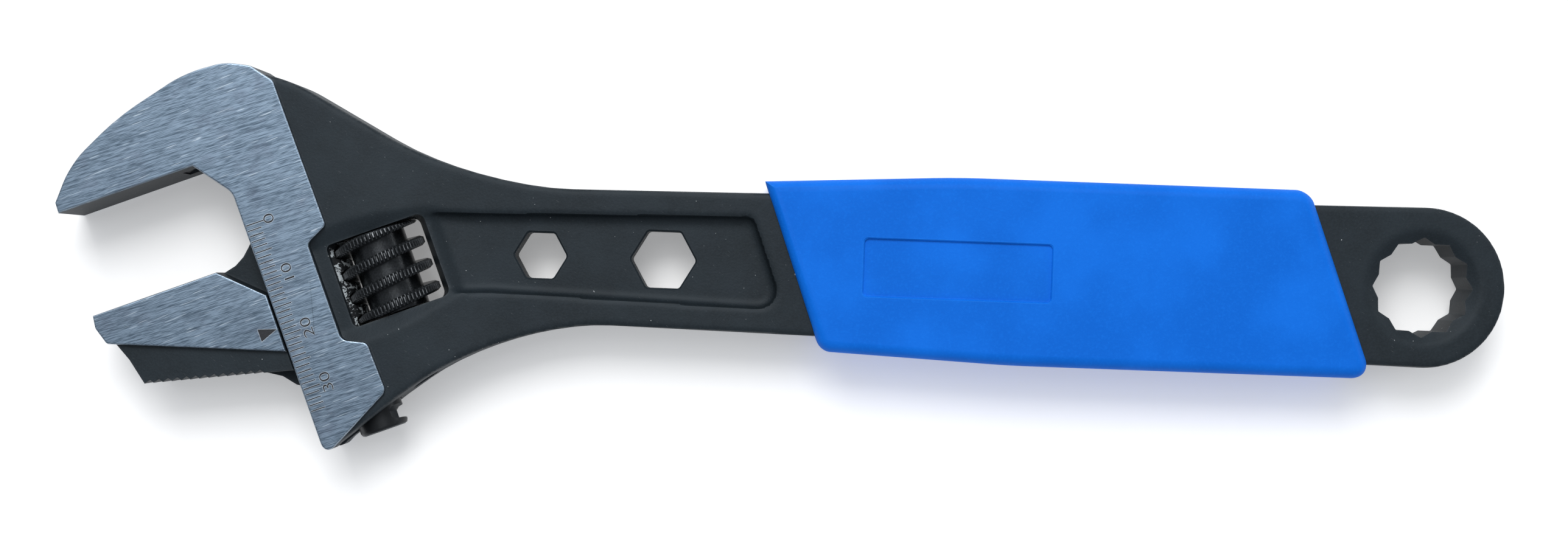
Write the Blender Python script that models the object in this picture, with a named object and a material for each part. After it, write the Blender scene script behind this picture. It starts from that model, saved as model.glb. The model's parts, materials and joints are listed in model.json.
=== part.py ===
"""Adjustable wrench with a ring end, modelled as the pieces it comes apart into.

Lengths are in metres, +Z is up, and the wrench lies flat with its handle along +X and its jaws at -X.
The head has a frame of its own: u runs out along the jaws to their tips, and w is the opening direction.
"""

import math

import bmesh
import bpy
from mathutils import Matrix, Vector

MM = 0.001
FIT = 0.3 * MM  # gap between pieces that touch or slide on each other
ARC_STEP = math.radians(13)  # most turn of one facet in a rounded corner
FACET = 5.0 * MM  # most length of one facet in a rounded corner

# Overall
RING_REACH = 209.6 * MM  # throat corner to ring centre, along the handle
THROAT_OFFSET = 15.05 * MM  # throat corner above the handle's centre line
HEAD_ANGLE = math.radians(21.5)  # lean of the opening direction from square to the handle
HEAD_THICKNESS = 16.0 * MM

# Head, in u and w from the throat corner
FIXED_JAW_LENGTH = 29.6 * MM
HEAD_DEPTH = 13.4 * MM  # front edge to back edge of the ground face
HEAD_CROWN = 15.7 * MM  # jaw face to the top of the crown
HEAD_LENGTH = 55.2 * MM  # jaw face to the lower corner, along w
HEAD_LOWER_DROP = 7.2 * MM  # rise of the slanted lower edge from front to back
THROAT_U = 4.95 * MM
THROAT_W = 6.6 * MM
GROUND_EDGE = 0.35 * MM

# Forged bar behind the head
NECK_WIDTH = 23.0 * MM
RING_DIAMETER = 28.4 * MM
RING_POINTS_ACROSS_FLATS = 15.2 * MM
DISH_RADIUS, DISH_DEPTH = 10.1 * MM, 1.7 * MM
HEAD_FORGING = 7.2 * MM  # half thickness just behind the ground face
BAR_HALF = 5.9 * MM
TAPER_START, TAPER_END = 16.0 * MM, 38.0 * MM  # where the thickness falls, back from the front edge
NECK_START = 62.0 * MM  # where the neck's curves run into the straight bar
FORGED_EDGE = 2.0 * MM

# Jaw, rack and the channel they slide in
OPENING = 18.75 * MM  # at rest
JAW_LENGTH = 29.9 * MM
JAW_THROAT = 7.2 * MM
GROUND_DEPTH_ROOT = 17.0 * MM
GROUND_DEPTH_TIP = 5.4 * MM
FLANK_HALF = 6.9 * MM
GRIP_PITCH = 1.6 * MM
GRIP_DEPTH = 0.55 * MM
WEB_THICKNESS = 5.0 * MM
RACK_U = 10.0 * MM
RACK_DIAMETER = 8.6 * MM
RACK_ABOVE_FACE = 5.5 * MM
RACK_LENGTH = 41.0 * MM

# Knurl and the window it turns in
PITCH = 4.19 * MM
KNURL_U = 19.7 * MM
KNURL_DIAMETER = 15.7 * MM
KNURL_LENGTH = 14.5 * MM
RIM_ROOT = 2.0 * MM
RIM_CREST = 1.0 * MM
RIM_AT_RACK = -1.27 * MM  # middle of a rim on the rack side, from the window's middle along w
WINDOW_W = 28.13 * MM  # middle of the window
WINDOW_BACK = 29.7 * MM
WINDOW_CORNER = 1.0 * MM

# Pin and spring of the knurl
PIN_DIAMETER = 3.0 * MM
PIN_HEAD_DIAMETER = 4.4 * MM
PIN_HEAD_LENGTH = 4.0 * MM
PIN_SEAT = 8.0 * MM  # how far the pin enters the wall above the window
PIN_TAIL = 45.6 * MM  # w of the slotted end
SPRING_WIRE = 0.6 * MM
SPRING_TURNS = 5
SPRING_POCKET = 4.6 * MM

# Web of the bar
WEB_HALF = 3.3 * MM
WEB_RIM = 4.5 * MM  # width of the rim left along each edge
WEB_END = 95.6 * MM  # where the recess ends on the centre line
HEX_SMALL, HEX_SMALL_X = 8.0 * MM, 55.7 * MM
HEX_LARGE, HEX_LARGE_X = 9.9 * MM, 77.2 * MM

# Grip sleeve
SLEEVE_START, SLEEVE_LENGTH = 99.8 * MM, 95.3 * MM
SLEEVE_SLANT = math.radians(20.3)
SLEEVE_WIDTH_NECK = 28.6 * MM
SLEEVE_WIDTH = 32.4 * MM
SLEEVE_SWELL_X = 128.0 * MM  # where the sleeve reaches its full width
SLEEVE_EDGE = 2.4 * MM
PANEL_X, PANEL_LENGTH, PANEL_WIDTH, PANEL_DEPTH = 128.4 * MM, 32.6 * MM, 10.0 * MM, 0.6 * MM

KNURL_RADIUS = KNURL_DIAMETER / 2
RACK_RADIUS = RACK_DIAMETER / 2
CORE_RADIUS = KNURL_U - RACK_U - RACK_RADIUS - FIT
WINDOW_LENGTH = KNURL_LENGTH + 2 * FIT
WINDOW_FRONT = KNURL_U - KNURL_RADIUS - FIT / 6
CHANNEL_RADIUS = RACK_RADIUS + FIT
PIN_BORE = PIN_DIAMETER / 2 + FIT
SPRING_RADIUS = PIN_BORE + SPRING_WIRE / 2 + FIT / 2
PIN_TOP = WINDOW_W - WINDOW_LENGTH / 2 - PIN_SEAT


def clear_scene():
    for item in list(bpy.data.objects):
        bpy.data.objects.remove(item, do_unlink=True)


def collection(name):
    made = bpy.data.collections.new(name)
    bpy.context.scene.collection.children.link(made)
    return made


def frame_empty(name, parent, location, rotation=(0, 0, 0)):
    empty = bpy.data.objects.new(name, None)
    empty.empty_display_size = 0.01
    empty.parent = parent
    empty.location = location
    empty.rotation_euler = rotation
    PIECES.objects.link(empty)
    return empty


def finish(name, mesh_data, parent, helper):
    """Wraps a bmesh as an object, either a named piece or a hidden helper."""
    bmesh.ops.recalc_face_normals(mesh_data, faces=mesh_data.faces)
    if mesh_data.calc_volume(signed=True) < 0:
        bmesh.ops.reverse_faces(mesh_data, faces=mesh_data.faces)
    mesh = bpy.data.meshes.new(name)
    mesh_data.to_mesh(mesh)
    mesh_data.free()
    item = bpy.data.objects.new(name, mesh)
    item.parent = parent
    if helper:
        item.hide_render = True
        item.display_type = "WIRE"
        CUTTERS.objects.link(item)
    else:
        PIECES.objects.link(item)
    return item


def rounded(corners):
    """Closed outline through (x, y, radius) corners, each corner turned into an arc of its radius."""
    outline = []
    for i, (x, y, radius) in enumerate(corners):
        here = Vector((x, y))
        to_last = (Vector(corners[i - 1][:2]) - here).normalized()
        to_next = (Vector(corners[(i + 1) % len(corners)][:2]) - here).normalized()
        turn = math.pi - to_last.angle(to_next)
        if radius == 0 or turn < 1e-3:
            outline.append(here)
            continue
        start = here + to_last * radius * math.tan(turn / 2)
        centre = here + (to_last + to_next).normalized() * radius / math.cos(turn / 2)
        side = 1 if to_last.x * to_next.y - to_last.y * to_next.x < 0 else -1
        steps = max(2, math.ceil(turn / ARC_STEP), math.ceil(turn * radius / FACET))
        for k in range(steps + 1):
            spoke = start - centre
            spoke.rotate(Matrix.Rotation(side * turn * k / steps, 2))
            outline.append(centre + spoke)
    return outline


def prism_mesh(outline, low, high):
    """A flat outline given thickness, as a bmesh."""
    data = bmesh.new()
    face = data.faces.new([data.verts.new((p.x, p.y, low)) for p in outline])
    raised = bmesh.ops.extrude_face_region(data, geom=[face])
    top = [v for v in raised["geom"] if isinstance(v, bmesh.types.BMVert)]
    bmesh.ops.translate(data, verts=top, vec=(0, 0, high - low))
    bmesh.ops.recalc_face_normals(data, faces=data.faces)
    return data


def rim_edges(data):
    """Edges between the flat faces and the upright sides."""
    return [
        e
        for e in data.edges
        if len(e.link_faces) == 2 and sorted(abs(f.normal.z) > 0.7 for f in e.link_faces) == [False, True]
    ]


def prism(name, outline, half, parent, helper=False, edge=0.0, segments=1):
    data = prism_mesh(outline, -half, half)
    if edge:
        bmesh.ops.bevel(
            data, geom=rim_edges(data), offset=edge, segments=segments, profile=0.5, affect="EDGES"
        )
    return finish(name, data, parent, helper)


def cylinder(name, radius, start, end, parent, helper=False, sides=32, chamfer=0.0):
    """A cylinder along the parent's Y axis, from start to end."""
    data = bmesh.new()
    bmesh.ops.create_cone(
        data, cap_ends=True, segments=sides, radius1=radius, radius2=radius, depth=end.y - start.y,
        matrix=Matrix.Translation((start + end) / 2) @ Matrix.Rotation(-math.pi / 2, 4, "X"),
    )
    if chamfer:
        caps = [e for f in data.faces if len(f.verts) > 4 for e in f.edges]
        bmesh.ops.bevel(data, geom=caps, offset=chamfer, segments=1, affect="EDGES")
    return finish(name, data, parent, helper)


def boolean(item, operation, other):
    cut = item.modifiers.new(other.name, "BOOLEAN")
    cut.operation = operation
    cut.object = other


def material(item, colour, roughness, metallic):
    made = bpy.data.materials.new(item.name)
    made.use_nodes = True
    shader = made.node_tree.nodes["Principled BSDF"]
    shader.inputs["Base Color"].default_value = (*colour, 1)
    shader.inputs["Roughness"].default_value = roughness
    shader.inputs["Metallic"].default_value = metallic
    item.data.materials.append(made)


def smooth(item):
    item.data.shade_smooth()
    item.data.set_sharp_from_angle(angle=math.radians(35))


def head_point(u, w):
    """Handle-frame place of a point of the head frame."""
    x = -math.cos(HEAD_ANGLE) * u + math.sin(HEAD_ANGLE) * w
    y = -math.sin(HEAD_ANGLE) * u - math.cos(HEAD_ANGLE) * w
    return x, y + THROAT_OFFSET


def from_front(x, y):
    """How far a handle-frame point lies behind the head's front edge."""
    return math.cos(HEAD_ANGLE) * x + math.sin(HEAD_ANGLE) * (y - THROAT_OFFSET)


def bar_half_width(x):
    """Half width of the bar, which widens evenly from the neck to the ring."""
    share = (x - NECK_START) / (RING_REACH - NECK_START)
    return NECK_WIDTH / 2 + share * (RING_DIAMETER - NECK_WIDTH) / 2


def ground_outline():
    """Ground face of the head, in u and w: jaw, crown, back edge, slanted foot and front edge."""
    back = -HEAD_DEPTH
    notch = -HEAD_DEPTH + 4.0 * MM
    notch_top = WINDOW_W - WINDOW_LENGTH / 2 - 3.2 * MM
    notch_foot = WINDOW_W + WINDOW_LENGTH / 2 + 3.2 * MM
    return rounded(
        [
            (FIXED_JAW_LENGTH, 0, 0),
            (FIXED_JAW_LENGTH - 0.1 * MM, -1.9 * MM, 0),
            (FIXED_JAW_LENGTH - 4.8 * MM, 8.3 * MM - HEAD_CROWN, 16 * MM),
            (FIXED_JAW_LENGTH - 15.1 * MM, 3.4 * MM - HEAD_CROWN, 40 * MM),
            (1.0 * MM, -HEAD_CROWN, 20 * MM),
            (-6.2 * MM, 0.5 * MM - HEAD_CROWN, 8 * MM),
            (-10.2 * MM, 2.5 * MM - HEAD_CROWN, 1.5 * MM),
            (back + 0.3 * MM, 6.3 * MM - HEAD_CROWN, 1.5 * MM),
            (back, notch_top, 1.0 * MM),
            (notch, notch_top + 1.9 * MM, 1.2 * MM),
            (notch, notch_foot - 1.9 * MM, 1.6 * MM),
            (back, notch_foot, 1.2 * MM),
            (back - 0.3 * MM, HEAD_LENGTH - HEAD_LOWER_DROP, 1.5 * MM),
            (0, HEAD_LENGTH, 1.5 * MM),
            (0, THROAT_W, 3.0 * MM),
            (THROAT_U, 0, 0),
        ]
    )


def forging_outline():
    """Handle-frame outline of the forged bar, from inside the head out to the ring and back."""
    half_neck = bar_half_width(NECK_START)
    ring_end = RING_REACH + RING_DIAMETER / 2
    ring_half = RING_DIAMETER / 2
    ring_round = ring_half - FIT
    inside = (
        head_point(-2 * MM, HEAD_LENGTH - 5.2 * MM),
        head_point(-2 * MM, -5 * MM),
        head_point(-5 * MM, 1.4 * MM - HEAD_CROWN),
    )
    foot_front = head_point(-1.2 * MM, HEAD_LENGTH - 0.9 * MM)
    foot_back = head_point(-15.0 * MM, HEAD_LENGTH - 5.6 * MM)
    return rounded(
        [
            (*inside[0], 0),
            (*inside[1], 0),
            (*inside[2], 0),
            (9.0 * MM, 15.15 * MM + THROAT_OFFSET, 25 * MM),
            (43.8 * MM, half_neck, 66 * MM),
            (ring_end, ring_half, ring_round),
            (ring_end, -ring_half, ring_round),
            (50.4 * MM, -half_neck, 52 * MM),
            (*foot_back, 20 * MM),
            (*foot_front, 0),
        ]
    )


def forging_half(depth):
    """Half thickness of the forging at a distance behind the head's front edge, as an S-shaped fall."""
    share = min(1, max(0, (depth - TAPER_START) / (TAPER_END - TAPER_START)))
    return HEAD_FORGING + (BAR_HALF - HEAD_FORGING) * share * share * (3 - 2 * share)


def make_body(wrench, head):
    data = prism_mesh(forging_outline(), -BAR_HALF, BAR_HALF)
    across = Vector((math.cos(HEAD_ANGLE), math.sin(HEAD_ANGLE), 0))
    cuts = 6
    for i in range(cuts):
        depth = TAPER_START + (TAPER_END - TAPER_START) * i / (cuts - 1)
        bmesh.ops.bisect_plane(
            data, geom=data.verts[:] + data.edges[:] + data.faces[:],
            plane_co=Vector((*head_point(-depth, 0), 0)), plane_no=across,
        )
    for v in data.verts:
        v.co.z = math.copysign(forging_half(from_front(v.co.x, v.co.y)), v.co.z)
    bmesh.ops.recalc_face_normals(data, faces=data.faces)
    bmesh.ops.bevel(
        data, geom=rim_edges(data), offset=FORGED_EDGE, segments=3, profile=0.5, affect="EDGES"
    )
    body = finish("body", data, wrench, False)

    for side in (1, -1):
        boolean(body, "DIFFERENCE", ring_dish(wrench, side))
    boolean(body, "DIFFERENCE", prism("ring_points", ring_outline(), HEAD_THICKNESS, wrench, True))
    for side in (1, -1):
        boolean(body, "DIFFERENCE", bar_recess(wrench, side))
    for name, size, x in (("hex_small", HEX_SMALL, HEX_SMALL_X), ("hex_large", HEX_LARGE, HEX_LARGE_X)):
        boolean(body, "DIFFERENCE", prism(name, hexagon(size, x), HEAD_THICKNESS, wrench, True))
    for side in (1, -1):
        boolean(body, "DIFFERENCE", window_basin(head, side))
    ground = prism("ground_head", ground_outline(), HEAD_THICKNESS / 2, head, True, GROUND_EDGE)
    boolean(body, "UNION", ground)
    boolean(body, "DIFFERENCE", prism("window_cut", window_outline(), HEAD_THICKNESS, head, True))
    boolean(body, "DIFFERENCE", jaw_channel(head))
    boolean(body, "DIFFERENCE", prism("jaw_slot", slot_outline(), WEB_THICKNESS / 2 + FIT, head, True))
    bore = cylinder(
        "pin_bore", PIN_BORE, Vector((-KNURL_U, PIN_TOP - FIT, 0)), Vector((-KNURL_U, HEAD_LENGTH, 0)),
        head, True, 24,
    )
    boolean(body, "DIFFERENCE", bore)
    seat = cylinder(
        "pin_head_bore", PIN_HEAD_DIAMETER / 2 + FIT,
        Vector((-KNURL_U, PIN_TAIL - PIN_HEAD_LENGTH - FIT, 0)), Vector((-KNURL_U, HEAD_LENGTH, 0)),
        head, True, 24,
    )
    boolean(body, "DIFFERENCE", seat)
    # The exact solver empties the forging at the ring's countersink, and every mesh here is closed.
    for cut in body.modifiers:
        cut.solver = "MANIFOLD"
    material(body, (0.035, 0.037, 0.042), 0.55, 0.6)
    smooth(body)
    return body


def window_outline():
    top, foot = WINDOW_W - WINDOW_LENGTH / 2, WINDOW_W + WINDOW_LENGTH / 2
    return rounded(
        [
            (-WINDOW_FRONT, top, WINDOW_CORNER),
            (-WINDOW_BACK, top, WINDOW_CORNER),
            (-WINDOW_BACK, foot, WINDOW_CORNER),
            (-WINDOW_FRONT, foot, WINDOW_CORNER),
        ]
    )


def window_basin(head, side):
    """Shallow basin round the window, with sloped walls above and below it."""
    floor, rise = HEAD_FORGING - 1.2 * MM, 3.0 * MM
    top, foot = WINDOW_W - WINDOW_LENGTH / 2, WINDOW_W + WINDOW_LENGTH / 2
    slope = 2.4
    front, back = -HEAD_DEPTH + 4.6 * MM, -WINDOW_BACK - 3 * MM
    data = prism_mesh(
        [Vector(p) for p in ((front, top), (back, top), (back, foot), (front, foot))], floor, floor + rise
    )
    for v in data.verts:
        if v.co.z > floor + rise / 2:
            v.co.y += math.copysign(slope * rise, v.co.y - WINDOW_W)
    if side < 0:
        bmesh.ops.scale(data, verts=data.verts, vec=(1, 1, -1))
    return finish(f"window_basin_{'top' if side > 0 else 'foot'}", data, head, True)


def jaw_channel(head):
    top = OPENING - RACK_ABOVE_FACE - (OPENING + FIT) - FIT
    return cylinder(
        "rack_channel", CHANNEL_RADIUS, Vector((-RACK_U, top, 0)),
        Vector((-RACK_U, HEAD_LENGTH + 10 * MM, 0)), head, True, 32,
    )


def slot_outline():
    """Slot for the jaw's web: the web's upper edge with the jaw closed, run out past the foot."""
    top = Vector((-RACK_U, -RACK_ABOVE_FACE - 2 * FIT))
    edge = [Vector((u + FIT, w - 2 * FIT)) for u, w in web_upper_edge()]
    below = HEAD_LENGTH + 10 * MM
    return [top, *edge, Vector((JAW_THROAT + 1 * MM, below)), Vector((-RACK_U, below))]


def web_upper_edge():
    """Upper edge of the jaw's web from the rack to the jaw face, as (u, w from the jaw face)."""
    return (
        (-1.8 * MM, -5.1 * MM),
        (0.2 * MM, -4.1 * MM),
        (1.6 * MM, -2.7 * MM),
        (3.0 * MM, -1.4 * MM),
        (4.8 * MM, -0.4 * MM),
        (JAW_THROAT + 0.6 * MM, 0.3 * MM),
    )


def bar_recess(wrench, side):
    """Recess that leaves the bar's thin web, from a ramp behind the window to a slanted end."""
    start, end = 41.4 * MM, WEB_END
    upper, lower = bar_half_width(start) - WEB_RIM, bar_half_width(end) - WEB_RIM + 0.4 * MM
    lean = math.tan(SLEEVE_SLANT)
    data = prism_mesh(
        rounded(
            [
                (start, upper, 1.6 * MM),
                (end - lean * lower, lower, 1.6 * MM),
                (end + lean * lower, -lower, 3.5 * MM),
                (start, -upper, 1.6 * MM),
            ]
        ),
        WEB_HALF,
        HEAD_THICKNESS,
    )
    floor_edges = [e for e in rim_edges(data) if e.verts[0].co.z < WEB_HALF + 1e-6]
    bmesh.ops.bevel(data, geom=floor_edges, offset=1.2 * MM, segments=2, profile=0.5, affect="EDGES")
    ramp = 5.5 * MM
    for v in data.verts:
        if v.co.x < start + 3 * MM and v.co.z < WEB_HALF + 1.3 * MM:
            v.co.x += ramp * (1 - (v.co.z - WEB_HALF) / (BAR_HALF - WEB_HALF))
    if side < 0:
        bmesh.ops.scale(data, verts=data.verts, vec=(1, 1, -1))
    return finish(f"bar_recess_{'top' if side > 0 else 'foot'}", data, wrench, True)


def hexagon(across_flats, x):
    radius = across_flats / math.sqrt(3)
    return rounded(
        [
            (x + radius * math.cos(i * math.pi / 3), radius * math.sin(i * math.pi / 3), 0.8 * MM)
            for i in range(6)
        ]
    )


def ring_outline():
    """Twelve-point hole: two hexagons turned 30 degrees from each other."""
    outer = RING_POINTS_ACROSS_FLATS / math.sqrt(3)
    inner = RING_POINTS_ACROSS_FLATS / 2 / math.cos(math.radians(15))
    return [
        Vector((RING_REACH + r * math.cos(math.radians(15 * i)), r * math.sin(math.radians(15 * i))))
        for i, r in enumerate([outer, inner] * 12)
    ]


def ring_dish(wrench, side):
    """Countersink at each face of the ring's hole."""
    data = bmesh.new()
    bmesh.ops.create_cone(
        data, cap_ends=True, segments=32,
        radius1=DISH_RADIUS - DISH_DEPTH * 1.9, radius2=DISH_RADIUS + DISH_DEPTH * 1.9,
        depth=2 * DISH_DEPTH, matrix=Matrix.Translation((RING_REACH, 0, BAR_HALF)),
    )
    if side < 0:
        bmesh.ops.scale(data, verts=data.verts, vec=(1, 1, -1))
    return finish(f"ring_dish_{'top' if side > 0 else 'foot'}", data, wrench, True)


def make_jaw(slide, knurl_axis):
    """The movable jaw: ground block, toothed flank, web and round rack, all one forging."""
    front = FIT
    ground = rounded(
        [
            (JAW_LENGTH, 0, 0),
            (JAW_THROAT, 0, 0),
            (front, THROAT_W, 0),
            (front, GROUND_DEPTH_ROOT, 0),
            (JAW_LENGTH - 0.7 * MM, GROUND_DEPTH_TIP, 0.8 * MM),
            (JAW_LENGTH + 0.3 * MM, 2.2 * MM, 1.5 * MM),
        ]
    )
    jaw = prism("movable_jaw", ground, HEAD_THICKNESS / 2, slide, False, GROUND_EDGE)
    boolean(jaw, "UNION", prism("jaw_flank", flank_outline(front), FLANK_HALF, slide, True))
    web = [Vector(p) for p in web_upper_edge()] + [
        Vector(p)
        for p in (
            (JAW_THROAT + 2 * MM, 6 * MM),
            (JAW_THROAT + 2 * MM, 17 * MM),
            (5.6 * MM, 19.2 * MM),
            (3.4 * MM, 20.6 * MM),
            (1.6 * MM, 22.8 * MM),
            (-1.2 * MM, 24.6 * MM),
            (-RACK_U, 26.2 * MM),
            (-RACK_U, -5.3 * MM),
        )
    ]
    boolean(jaw, "UNION", prism("jaw_web", web, WEB_THICKNESS / 2, slide, True))
    rack = cylinder(
        "rack_rod", RACK_RADIUS, Vector((-RACK_U, -RACK_ABOVE_FACE, 0)),
        Vector((-RACK_U, RACK_LENGTH - RACK_ABOVE_FACE, 0)), slide, True, 32, 0.7 * MM,
    )
    boolean(jaw, "UNION", rack)
    boolean(jaw, "DIFFERENCE", rack_grooves(knurl_axis))
    material(jaw, (0.16, 0.18, 0.21), 0.4, 0.9)
    smooth(jaw)
    return jaw


def flank_outline(front):
    """Lower block of the jaw with pipe-grip teeth along its outer edge."""
    tip, heel = Vector((25.6 * MM, 14.0 * MM)), Vector((5.4 * MM, 19.1 * MM))
    along = (heel - tip).normalized()
    out = Vector((along.y, -along.x))
    if out.y < 0:
        out = -out
    teeth = int((heel - tip).length / GRIP_PITCH)
    edge = []
    for i in range(teeth):
        edge.append(tip + along * GRIP_PITCH * i)
        edge.append(tip + along * GRIP_PITCH * (i + 0.62) - out * GRIP_DEPTH)
    corner = [Vector((JAW_LENGTH - 1.6 * MM, 5.0 * MM)), Vector((JAW_LENGTH - 3.2 * MM, 9.2 * MM))]
    inner = [Vector((front, 20.4 * MM)), Vector((front, 8.0 * MM)), Vector((12 * MM, 3.0 * MM))]
    return corner + edge + [heel] + inner


def ridge_section(gap):
    """Half section of the thread as (radius, height), grown by a gap."""
    return (
        (CORE_RADIUS - 0.6 * MM, RIM_ROOT / 2 + gap),
        (KNURL_RADIUS - 0.6 * MM, RIM_ROOT / 2 - 0.12 * MM + gap),
        (KNURL_RADIUS + gap, RIM_CREST / 2 + gap * 0.7),
    )


def add_ridge(data, gap, start, end, step):
    """Sweeps the thread's section along its helix about local Z, between two angles."""
    half = ridge_section(gap)
    section = [(r, -h) for r, h in half] + [(r, h) for r, h in reversed(half)]
    turns = math.ceil((end - start) / step)
    rings = []
    for i in range(turns + 1):
        angle = start + (end - start) * i / turns
        rise = PITCH * angle / (2 * math.pi) - RIM_AT_RACK
        rings.append(
            [data.verts.new((r * math.cos(angle), r * math.sin(angle), h + rise)) for r, h in section]
        )
    for near, far in zip(rings, rings[1:]):
        for k in range(len(section)):
            m = (k + 1) % len(section)
            data.faces.new((near[k], near[m], far[m], far[k]))
    data.faces.new(reversed(rings[0]))
    data.faces.new(rings[-1])


def rack_grooves(knurl_axis):
    """The thread's own path cut across the rack, with working clearance, at every tooth."""
    first = WINDOW_W - (OPENING + RACK_LENGTH - RACK_ABOVE_FACE)
    last = WINDOW_W - (OPENING - RACK_ABOVE_FACE)
    data = bmesh.new()
    reach = math.radians(56)
    for turn in range(math.ceil(first / PITCH) - 1, math.ceil(last / PITCH) + 1):
        centre = 2 * math.pi * turn
        add_ridge(data, FIT, centre - reach, centre + reach, math.radians(14))
    return finish("rack_grooves", data, knurl_axis, True)


def turned(name, radius, length, axis, helper=True, sides=24, middle=0.0):
    """A cylinder about the knurl's axis."""
    data = bmesh.new()
    bmesh.ops.create_cone(
        data, cap_ends=True, segments=sides, radius1=radius, radius2=radius, depth=length,
        matrix=Matrix.Translation((0, 0, middle)),
    )
    return finish(name, data, axis, helper)


def make_knurl(axis):
    """The knurl: a core with one right-handed thread, bored for the pin and pocketed for the spring."""
    half = KNURL_LENGTH / 2
    knurl = turned("knurl", CORE_RADIUS, KNURL_LENGTH, axis, False, 36)
    data = bmesh.new()
    span = 2 * math.pi * (half + 2 * PITCH) / PITCH
    add_ridge(data, 0, -span, span, math.radians(12))
    boolean(knurl, "UNION", finish("knurl_thread", data, axis, True))
    boolean(knurl, "INTERSECT", turned("knurl_envelope", KNURL_DIAMETER, KNURL_LENGTH, axis, True, 36))
    boolean(knurl, "DIFFERENCE", turned("knurl_bore", PIN_BORE, 2 * KNURL_LENGTH, axis))
    pocket = SPRING_RADIUS + SPRING_WIRE / 2 + FIT
    boolean(
        knurl, "DIFFERENCE", turned("spring_pocket", pocket, 2 * SPRING_POCKET, axis, True, 24, -half)
    )
    material(knurl, (0.03, 0.032, 0.036), 0.4, 0.7)
    smooth(knurl)
    return knurl


def make_pin(head):
    """The knurl's pin: a plain shank with a slotted head, entered from the neck's lower edge."""
    pin = cylinder(
        "knurl_pin", PIN_DIAMETER / 2, Vector((-KNURL_U, PIN_TOP, 0)),
        Vector((-KNURL_U, PIN_TAIL - 0.5 * MM, 0)), head, False, 24, 0.3 * MM,
    )
    cap = cylinder(
        "pin_head", PIN_HEAD_DIAMETER / 2, Vector((-KNURL_U, PIN_TAIL - PIN_HEAD_LENGTH, 0)),
        Vector((-KNURL_U, PIN_TAIL, 0)), head, True, 24, 0.3 * MM,
    )
    boolean(pin, "UNION", cap)
    slot = prism_mesh(
        [
            Vector(p)
            for p in (
                (-KNURL_U - 4 * MM, PIN_TAIL - 1.1 * MM),
                (-KNURL_U + 4 * MM, PIN_TAIL - 1.1 * MM),
                (-KNURL_U + 4 * MM, PIN_TAIL + 1 * MM),
                (-KNURL_U - 4 * MM, PIN_TAIL + 1 * MM),
            )
        ],
        -0.4 * MM,
        0.4 * MM,
    )
    boolean(pin, "DIFFERENCE", finish("driver_slot", slot, head, True))
    material(pin, (0.05, 0.05, 0.055), 0.4, 0.9)
    smooth(pin)
    return pin


def make_spring(axis):
    """Compression spring round the pin, in the pocket of the knurl."""
    low = -KNURL_LENGTH / 2 + SPRING_WIRE / 2 + FIT
    rise = SPRING_POCKET - SPRING_WIRE - 2 * FIT
    per_turn = 14
    curve = bpy.data.curves.new("knurl_spring", "CURVE")
    curve.dimensions = "3D"
    curve.bevel_depth = SPRING_WIRE / 2
    curve.bevel_resolution = 2
    curve.use_fill_caps = True
    spline = curve.splines.new("POLY")
    spline.points.add(SPRING_TURNS * per_turn)
    for i, point in enumerate(spline.points):
        angle = 2 * math.pi * i / per_turn
        height = low + rise * i / (SPRING_TURNS * per_turn)
        point.co = (SPRING_RADIUS * math.cos(angle), SPRING_RADIUS * math.sin(angle), height, 1)
    spring = bpy.data.objects.new("knurl_spring", curve)
    spring.parent = axis
    PIECES.objects.link(spring)
    material(spring, (0.35, 0.36, 0.38), 0.35, 1.0)
    return spring


def make_sleeve(wrench):
    """The moulded grip: a flat tube with slanted ends, a blank panel on each face and a bar cavity."""
    lean = math.tan(SLEEVE_SLANT)
    half_neck, half = SLEEVE_WIDTH_NECK / 2, SLEEVE_WIDTH / 2
    start, end = SLEEVE_START, SLEEVE_START + SLEEVE_LENGTH
    outline = rounded(
        [
            (start - lean * half_neck, half_neck, 0),
            (SLEEVE_SWELL_X, half, 150 * MM),
            (end - lean * half, half, 3.5 * MM),
            (end + lean * half, -half, 2.6 * MM),
            (SLEEVE_SWELL_X + 10 * MM, -half, 150 * MM),
            (start + lean * half_neck, -half_neck - 0.6 * MM, 2.6 * MM),
        ]
    )
    sleeve = prism("grip_sleeve", outline, HEAD_THICKNESS / 2, wrench, False, SLEEVE_EDGE, 3)
    reach = 12 * MM
    near, far = start - reach, end + reach
    cavity = [
        Vector((x, side * (bar_half_width(x) + FIT)))
        for x, side in ((near, 1), (far, 1), (far, -1), (near, -1))
    ]
    boolean(
        sleeve, "DIFFERENCE", prism("bar_cavity", cavity, BAR_HALF + FIT, wrench, True, FORGED_EDGE, 3)
    )
    for side in (1, -1):
        panel = prism_mesh(
            rounded(
                [
                    (PANEL_X + x * PANEL_LENGTH / 2, y * PANEL_WIDTH / 2, 0.8 * MM)
                    for x, y in ((1, 1), (1, -1), (-1, -1), (-1, 1))
                ]
            ),
            HEAD_THICKNESS / 2 - PANEL_DEPTH,
            HEAD_THICKNESS,
        )
        if side < 0:
            bmesh.ops.scale(panel, verts=panel.verts, vec=(1, 1, -1))
        boolean(sleeve, "DIFFERENCE", finish(f"panel_{'top' if side > 0 else 'foot'}", panel, wrench, True))
    material(sleeve, (0.008, 0.14, 0.75), 0.55, 0.0)
    smooth(sleeve)
    return sleeve


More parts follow.
